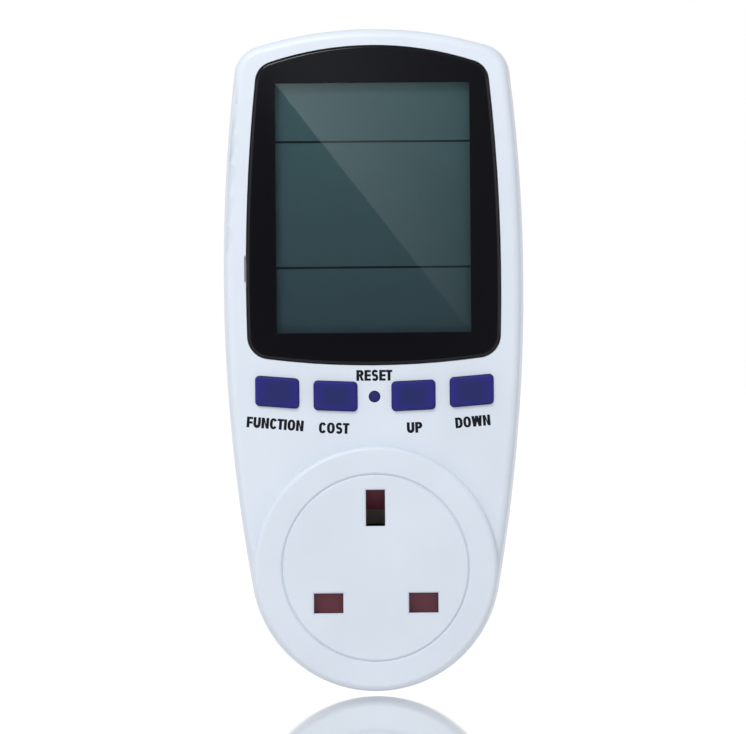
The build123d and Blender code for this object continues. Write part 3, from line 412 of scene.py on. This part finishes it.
def letter_p(width=0.70):
    low = 0.38
    outer = [(0, 0), (STEM, 0)] + bowl(STEM, width, low, 1, 0.30)[:-1] + [(0, 1)]
    return width, [outer, bowl(STEM, width - STEM, low + BAR, 1 - BAR, 0.12)]


def letter_r(width=0.74):
    low, right = 0.40, width - 0.02
    from_corner = 1 + ROUND_STEPS // 2  # half way round the lower corner, where the leg joins
    right_side = bowl(STEM, right, low, 1, 0.29)[from_corner:-1]
    leg = [(0.32, low), (width - 0.26, 0), (width + 0.03, 0), (width - 0.20, low + 0.05)]
    outer = [(0, 0), (STEM, 0), (STEM, low)] + leg + right_side + [(0, 1)]
    return width, [outer, bowl(STEM, right - STEM, low + BAR, 1 - BAR, 0.11)]


def letter_d(width=0.74):
    inner = bowl(STEM, width - STEM, BAR, 1 - BAR, width - 2 * STEM)
    return width, [bowl(0, width, 0, 1, 0.38), inner]


def letter_o(width=0.79):
    middle = (width / 2, 0.5)
    outer = oval(middle, (width / 2, HALF_ROUND))
    inner = oval(middle, (width / 2 - STEM, HALF_ROUND - BAR))
    return width, [outer[:-1], inner[:-1]]


def letter_c(width=0.74):
    middle, opening = (width / 2 + 0.01, 0.5), 31
    outer = oval(middle, (width / 2, HALF_ROUND), opening, 360 - opening)
    inner = oval(middle, (width / 2 - STEM, HALF_ROUND - BAR), 360 - opening, opening)
    return width, [outer + inner]


def letter_s(width=0.70):
    across, up = (width - STEM) / 2, (1.03 - BAR) / 4
    upper = arc((width / 2, 0.5 + up), (across, up), 22, 270, 0.9)
    lower = arc((width / 2, 0.5 - up), (across, up), 90, -158, 0.9)
    return width, [stroke(upper + lower[1:], (STEM + BAR) / 2)]


def letter_u(width=0.74):
    inset = (width - STEM) / 2
    turn = arc((width / 2, width / 2 - 0.01), (inset, inset), 180, 360)
    return width, [stroke([(STEM / 2, 1)] + turn + [(width - STEM / 2, 1)], STEM)]


def letter_n(width=0.76):
    slope = 0.60  # drop of the diagonal's edges between the stems
    right = width - STEM
    lower = [(0, 0), (STEM, 0), (STEM, slope), (right, 0), (width, 0)]
    upper = [(width, 1), (right, 1), (right, 1 - slope), (STEM, 1), (0, 1)]
    return width, [lower + upper]


def letter_w(width=1.06):
    half, foot, peak = STEM / 2, 0.26, width / 2
    notch = (peak - foot - half) / (peak - foot)
    dip = STEM / (peak - half)
    dip_x = foot - half + (peak - foot) * dip
    left = [(peak - half, 1), (dip_x, dip), (STEM, 1), (0, 1)]
    right = [(width - x, y) for x, y in reversed(left)]
    left_foot = [(foot - half, 0), (foot + half, 0)]
    right_foot = [(width - foot - half, 0), (width - foot + half, 0)]
    return width, [left_foot + [(peak, notch)] + right_foot + right + left]


def letter_t(width=0.66):
    left, right = (width - STEM) / 2, (width + STEM) / 2
    post = [(left, 0), (right, 0), (right, 1 - BAR)]
    return width, [post + [(width, 1 - BAR), (width, 1), (0, 1), (0, 1 - BAR), (left, 1 - BAR)]]


CAPITALS = {
    "C": letter_c(),
    "D": letter_d(),
    "E": comb(0.64, (BAR / 2, 0.5, 1 - BAR / 2)),
    "F": comb(0.60, (0.47, 1 - BAR / 2)),
    "I": (STEM, [[(0, 0), (STEM, 0), (STEM, 1), (0, 1)]]),
    "N": letter_n(),
    "O": letter_o(),
    "P": letter_p(),
    "R": letter_r(),
    "S": letter_s(),
    "T": letter_t(),
    "U": letter_u(),
    "W": letter_w(),
}


def label(name, word, x, z, height, width, turn):
    """One word of print on the front face, centred at (x, z) and turned by some degrees."""
    outlines, advance, before = [], 0.0, ""
    for letter in word:
        if before:
            advance += GAP_BESIDE_T if "T" in before + letter else LETTER_GAP
        letter_width, shapes = CAPITALS[letter]
        outlines += [[(px + advance, py) for px, py in shape] for shape in shapes]
        advance += letter_width
        before = letter
    curve = bpy.data.curves.new(name, "CURVE")
    curve.dimensions = "2D"
    curve.fill_mode = "BOTH"
    curve.extrude = PRINT_DEPTH / 2 / height
    for outline in outlines:
        spline = curve.splines.new("POLY")
        spline.points.add(len(outline) - 1)
        for point, (px, py) in zip(spline.points, outline):
            point.co = (px - advance / 2, py - 0.5, 0, 1)
        spline.use_cyclic_u = True
    curve.materials.append(INK)
    piece = bpy.data.objects.new(name, curve)
    piece.scale = (width / advance, height, height)
    piece.rotation_euler = (math.radians(90), -math.radians(turn), 0)
    piece.location = (x, FACE_Y - PRINT_DEPTH / 2, z)
    bpy.context.scene.collection.objects.link(piece)
    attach(piece, ROOT)


CAP_HEIGHT = 2.5
LABELS = (  # word, centre x and z, width, turn in degrees
    ("RESET", 0.0, 44.95, 8.4, 0.0),
    ("FUNCTION", -23.25, 33.8, 13.3, -4.7),
    ("COST", -9.5, 32.7, 7.15, -2.0),
    ("UP", 9.3, 32.7, 3.6, 2.0),
    ("DOWN", 22.9, 34.0, 8.2, 5.0),
)
for word, x, z, width, turn in LABELS:
    label("label_" + word.lower(), word, x * MM, z * MM, CAP_HEIGHT * MM, width * MM, turn)


# ---------------------------------------------------------------- printed lines
def printed_bars(name, bars, y, material):
    """Flat printed bars as one mesh, each given by its x and z limits."""
    verts, faces = [], []
    for x0, x1, z0, z1 in bars:
        start = len(verts)
        ring = [(x0, z0), (x1, z0), (x1, z1), (x0, z1)]
        verts += [(x, y, z) for x, z in ring] + [(x, y + PRINT_DEPTH, z) for x, z in ring]
        quads = [(0, 1, 2, 3), (7, 6, 5, 4)]
        quads += [((i + 1) % 4, i, i + 4, (i + 1) % 4 + 4) for i in range(4)]
        faces += [tuple(start + i for i in quad) for quad in quads]
    mesh = bpy.data.meshes.new(name)
    mesh.from_pydata(verts, [], faces)
    mesh.materials.append(material)
    piece = bpy.data.objects.new(name, mesh)
    bpy.context.scene.collection.objects.link(piece)
    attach(piece, ROOT)


LINE_LEVELS = (99.6 * MM, 70.2 * MM)
LINE_THICK = 0.5 * MM
LINE_END = 0.3 * MM  # short of the film's edge
line_bars = [
    (LCD_LOW.x + LINE_END, LCD_HIGH.x - LINE_END, z - LINE_THICK / 2, z + LINE_THICK / 2)
    for z in LINE_LEVELS
]
printed_bars("lcd_divider_lines", line_bars, LCD_LOW.y - PRINT_DEPTH, LINE_INK)


def rating_table():
    """Blank ruled table printed on the rating plate."""
    margin, rule, rows, first_column = 2.5 * MM, 0.25 * MM, 5, 0.42
    left, right = PLATE_LOW.x + margin, PLATE_HIGH.x - margin
    bottom, top = PLATE_LOW.z + margin, PLATE_HIGH.z - margin
    pitch = (top - bottom - rule) / rows
    bars = [(left, right, bottom + i * pitch, bottom + i * pitch + rule) for i in range(rows + 1)]
    for i in range(rows):
        low, high = bottom + i * pitch + rule, bottom + (i + 1) * pitch
        for x in (left, left + (right - left) * first_column, right - rule):
            bars.append((x, x + rule, low, high))
    printed_bars("rating_table", bars, PLATE_HIGH.y, RULE_INK)


rating_table()

# ---------------------------------------------------------------- copies of CAD nodes on the meter body
KEY_NAMES = ("function", "cost", "reset", "up", "down")
KEY_BOXES = {key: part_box("key_" + key) for key in KEY_NAMES}


def giving_piece(name, node, is_part=lambda place: True):
    """Copy of a CAD node, or of a part of it, on the meter body in the node's place; the node
    itself is hidden.
    """
    mesh = bmesh.new()
    mesh.from_mesh(NODES[node].data)
    others = [vert for vert in mesh.verts if not is_part(vert.co)]
    bmesh.ops.delete(mesh, geom=others, context="VERTS")
    data = bpy.data.meshes.new(name)
    mesh.to_mesh(data)
    mesh.free()
    data.materials.append(MATERIALS[slot_of[node]])
    piece = bpy.data.objects.new(name, data)
    bpy.context.scene.collection.objects.link(piece)
    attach(piece, ROOT)
    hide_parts(node)
    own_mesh(piece)


giving_piece(
    "shutter_spring_coil", "shutter_spring",
)


def beside_key(key, place):
    """How far a place lies to the left or right of a key."""
    low, high = KEY_BOXES[key]
    return max(low.x - place.x, place.x - high.x)


def nearest_key(place):
    return min(KEY_NAMES, key=lambda key: beside_key(key, place))


def key_skirt(key):
    """The silicone skirt round one key, out of the node that holds all five."""
    giving_piece(
        key + "_key_skirt", "keypad_skirts",
        lambda place: nearest_key(place) == key,
    )


for key in KEY_NAMES:
    key_skirt(key)

# ---------------------------------------------------------------- camera
CAMERA_DISTANCE = 3.0
VIEW_WIDTH = 174.1 * MM  # width seen at the socket face
VIEW_X = -0.3 * MM
VIEW_Z = 46.9 * MM
ROLL = 0.47  # degrees
SENSOR = 36  # mm

camera_data = bpy.data.cameras.new("camera")
camera_data.sensor_width = SENSOR
camera_data.lens = SENSOR * CAMERA_DISTANCE / VIEW_WIDTH
camera_data.clip_start = 0.01
camera = bpy.data.objects.new("camera", camera_data)
camera.location = (VIEW_X, SOCKET_Y - CAMERA_DISTANCE, VIEW_Z)
camera.rotation_euler = (math.radians(90), math.radians(ROLL), 0)
bpy.context.scene.collection.objects.link(camera)
bpy.context.scene.camera = camera
bpy.context.scene.view_settings.view_transform = "Standard"

# ---------------------------------------------------------------- stage
FLOOR_GAP = 0.6 * MM  # under the lowest point of the meter
FLOOR_HALF = 30.0  # half the floor's width
FLOOR_MATT = 0.40
FLOOR_GLOW = 0.42
FLOOR_GRAZING = (0.75, 0.92)  # it turns from matt to mirror between these facing values
FLOOR_MIRROR = (0.03, 0.92)  # mirrored share at each


def stage_mesh(name, corners, material):
    """Flat staging piece, not part of the meter."""
    mesh = bpy.data.meshes.new(name)
    mesh.from_pydata(corners, [], [tuple(range(len(corners)))])
    mesh.materials.append(material)
    piece = bpy.data.objects.new(name, mesh)
    bpy.context.scene.collection.objects.link(piece)
    return piece


def floor_material():
    """Polished, dimly lit white acrylic: soft white from above, a mirror at a grazing look."""
    n = Nodes("floor")
    matt = n.add("BsdfDiffuse")
    matt.inputs["Color"].default_value = (FLOOR_MATT, FLOOR_MATT, FLOOR_MATT, 1)
    glow = n.add("Emission")
    glow.inputs["Color"].default_value = (1, 1, 1, 1)
    glow.inputs["Strength"].default_value = FLOOR_GLOW
    both = n.add("AddShader")
    n.link(matt.outputs["BSDF"], both.inputs[0])
    n.link(glow.outputs["Emission"], both.inputs[1])
    shine = n.add("BsdfGlossy")
    shine.inputs["Roughness"].default_value = 0.03
    shine.inputs["Color"].default_value = (1, 1, 1, 1)
    facing = n.add("LayerWeight")
    facing.inputs["Blend"].default_value = 0.5
    mix = n.add("MixShader")
    mirrored_share = n.ramp(facing.outputs["Facing"], *FLOOR_MIRROR, FLOOR_GRAZING)
    n.link(mirrored_share, mix.inputs["Fac"])
    n.link(both.outputs["Shader"], mix.inputs[1])
    n.link(shine.outputs["BSDF"], mix.inputs[2])
    n.link(mix.outputs["Shader"], n.out.inputs["Surface"])
    return n.material


floor_z = SHELL_LOW.z - FLOOR_GAP
floor_corners = [
    (side * FLOOR_HALF, end * FLOOR_HALF, floor_z)
    for side, end in ((-1, -1), (1, -1), (1, 1), (-1, 1))
]
stage_mesh("floor", floor_corners, floor_material())


# The window mirrors two cards standing in front of it: a glare card, whose slanting edge runs
# across the display, and beyond it a dim flag that keeps the bright tent out of the window.
CARD_DISTANCE = 0.45  # from the window to the glare card
CARD_TINT = (0.92, 0.97, 1.0)
FLAG_GAP = 10 * MM  # from the glare card to the flag
FLAG_SPARE = 18 * MM  # round what the bezel mirrors
FLAG_GLOW = 0.06
GLARE_LEFT = 0.92  # glow at the display's left side, and at its right
GLARE_RIGHT = 0.10
GLARE_SPARE = 0.3  # of the pane's size, round what it mirrors
PANE_RIM = 1.3 * MM  # hidden rim of the pane


def mirrored(x, z, card_y):
    """The point at depth card_y that shows at (x, z) on the window."""
    eye = Vector((camera.location.x, 2 * PANE_LOW.y - camera.location.y, camera.location.z))
    across = Vector((x, PANE_LOW.y, z)) - eye
    return eye + across * ((card_y - eye.y) / across.y)


def mirror_card(name, outline, distance, strengths):
    """Card seen only in mirrors, its glow running from the display's left to its right."""
    y = PANE_LOW.y - distance
    n = Nodes(name)
    glow = n.add("Emission")
    glow.inputs["Color"].default_value = (*CARD_TINT, 1)
    span = (mirrored(LCD_LOW.x, 0, y).x, mirrored(LCD_HIGH.x, 0, y).x)
    n.link(n.ramp(n.axis("X"), *strengths, span), glow.inputs["Strength"])
    n.link(glow.outputs["Emission"], n.out.inputs["Surface"])
    card = stage_mesh(name, [mirrored(x, z, y) for x, z in outline], n.material)
    card.visible_camera = False
    card.visible_diffuse = False
    card.visible_shadow = False


def mirror_cards():
    spare_x = GLARE_SPARE * (PANE_HIGH.x - PANE_LOW.x - 2 * PANE_RIM)
    spare_z = GLARE_SPARE * (PANE_HIGH.z - PANE_LOW.z - 2 * PANE_RIM)
    left, right = PANE_LOW.x + PANE_RIM - spare_x, PANE_HIGH.x - PANE_RIM + spare_x
    bottom, top = PANE_LOW.z + PANE_RIM - spare_z, PANE_HIGH.z - PANE_RIM + spare_z
    glare = [(left, top), (right, bottom), (right, top)]
    mirror_card("glare_card", glare, CARD_DISTANCE, (GLARE_LEFT, GLARE_RIGHT))
    left, right = BEZEL_LOW.x - FLAG_SPARE, BEZEL_HIGH.x + FLAG_SPARE
    bottom, top = BEZEL_LOW.z - FLAG_SPARE, BEZEL_HIGH.z + FLAG_SPARE
    flag = [(left, bottom), (right, bottom), (right, top), (left, top)]
    mirror_card("flag", flag, CARD_DISTANCE + FLAG_GAP, (FLAG_GLOW, FLAG_GLOW))


mirror_cards()

# Light tent: brightness by the direction's y, from front to back, and bright all round near the
# horizon, so that the floor mirrors white in every level view.
TENT = ((-1.0, 0.38), (-0.85, 0.36), (-0.50, 0.37), (-0.10, 0.47), (0.40, 0.78))
HORIZON = (0.12, 0.24)  # the bright band ends between these heights
HORIZON_LIGHT = 1.09
TENT_TINT = (0.96, 0.98, 1.0)


def studio_world():
    """White light tent for the meter, plain white for the camera."""
    world = bpy.data.worlds.new("studio")
    bpy.context.scene.world = world
    world.use_nodes = True
    tree = world.node_tree
    tree.nodes.clear()

    def add(kind):
        return tree.nodes.new("ShaderNode" + kind)

    out, light, seen = add("OutputWorld"), add("Background"), add("Background")
    mix, path, where = add("MixShader"), add("LightPath"), add("TexCoord")
    split, front, shade = add("SeparateXYZ"), add("MapRange"), add("ValToRGB")
    seen.inputs["Color"].default_value = (1, 1, 1, 1)
    tree.links.new(where.outputs["Generated"], split.inputs["Vector"])
    front.inputs["From Min"].default_value = -1.0
    front.inputs["From Max"].default_value = 1.0
    tree.links.new(split.outputs["Y"], front.inputs["Value"])
    tree.links.new(front.outputs["Result"], shade.inputs["Fac"])
    stops = shade.color_ramp.elements
    while len(stops) < len(TENT):
        stops.new(0.5)
    for stop, (y, value) in zip(stops, TENT):
        stop.position = (y + 1) / 2
        stop.color = (*tint(TENT_TINT, value), 1)

    height, band, around = add("Math"), add("MapRange"), add("Mix")
    height.operation = "ABSOLUTE"
    tree.links.new(split.outputs["Z"], height.inputs[0])
    band.inputs["From Min"].default_value, band.inputs["From Max"].default_value = HORIZON
    band.inputs["To Min"].default_value, band.inputs["To Max"].default_value = 1.0, 0.0
    tree.links.new(height.outputs["Value"], band.inputs["Value"])
    around.data_type = "RGBA"
    around.inputs["B"].default_value = (HORIZON_LIGHT, HORIZON_LIGHT, HORIZON_LIGHT, 1)
    tree.links.new(band.outputs["Result"], around.inputs["Factor"])
    tree.links.new(shade.outputs["Color"], around.inputs["A"])
    tree.links.new(around.outputs["Result"], light.inputs["Color"])

    tree.links.new(path.outputs["Is Camera Ray"], mix.inputs["Fac"])
    tree.links.new(light.outputs["Background"], mix.inputs[1])
    tree.links.new(seen.outputs["Background"], mix.inputs[2])
    tree.links.new(mix.outputs["Shader"], out.inputs["Surface"])


studio_world()


KEY_LIGHT_PLACE = Vector((-0.16, -0.42, 0.46))
KEY_LIGHT_SIZE = 0.25
KEY_LIGHT_POWER = 1.9  # watts


def key_light():
    """Soft lamp above on the left, turned to the middle of the meter."""
    data = bpy.data.lights.new("key", "AREA")
    data.shape = "SQUARE"
    data.size = KEY_LIGHT_SIZE
    data.energy = KEY_LIGHT_POWER
    lamp = bpy.data.objects.new("key", data)
    lamp.location = KEY_LIGHT_PLACE
    towards = (SHELL_LOW + SHELL_HIGH) / 2 - KEY_LIGHT_PLACE
    lamp.rotation_euler = towards.to_track_quat("-Z", "Y").to_euler()
    lamp.visible_camera = False
    bpy.context.scene.collection.objects.link(lamp)


key_light()
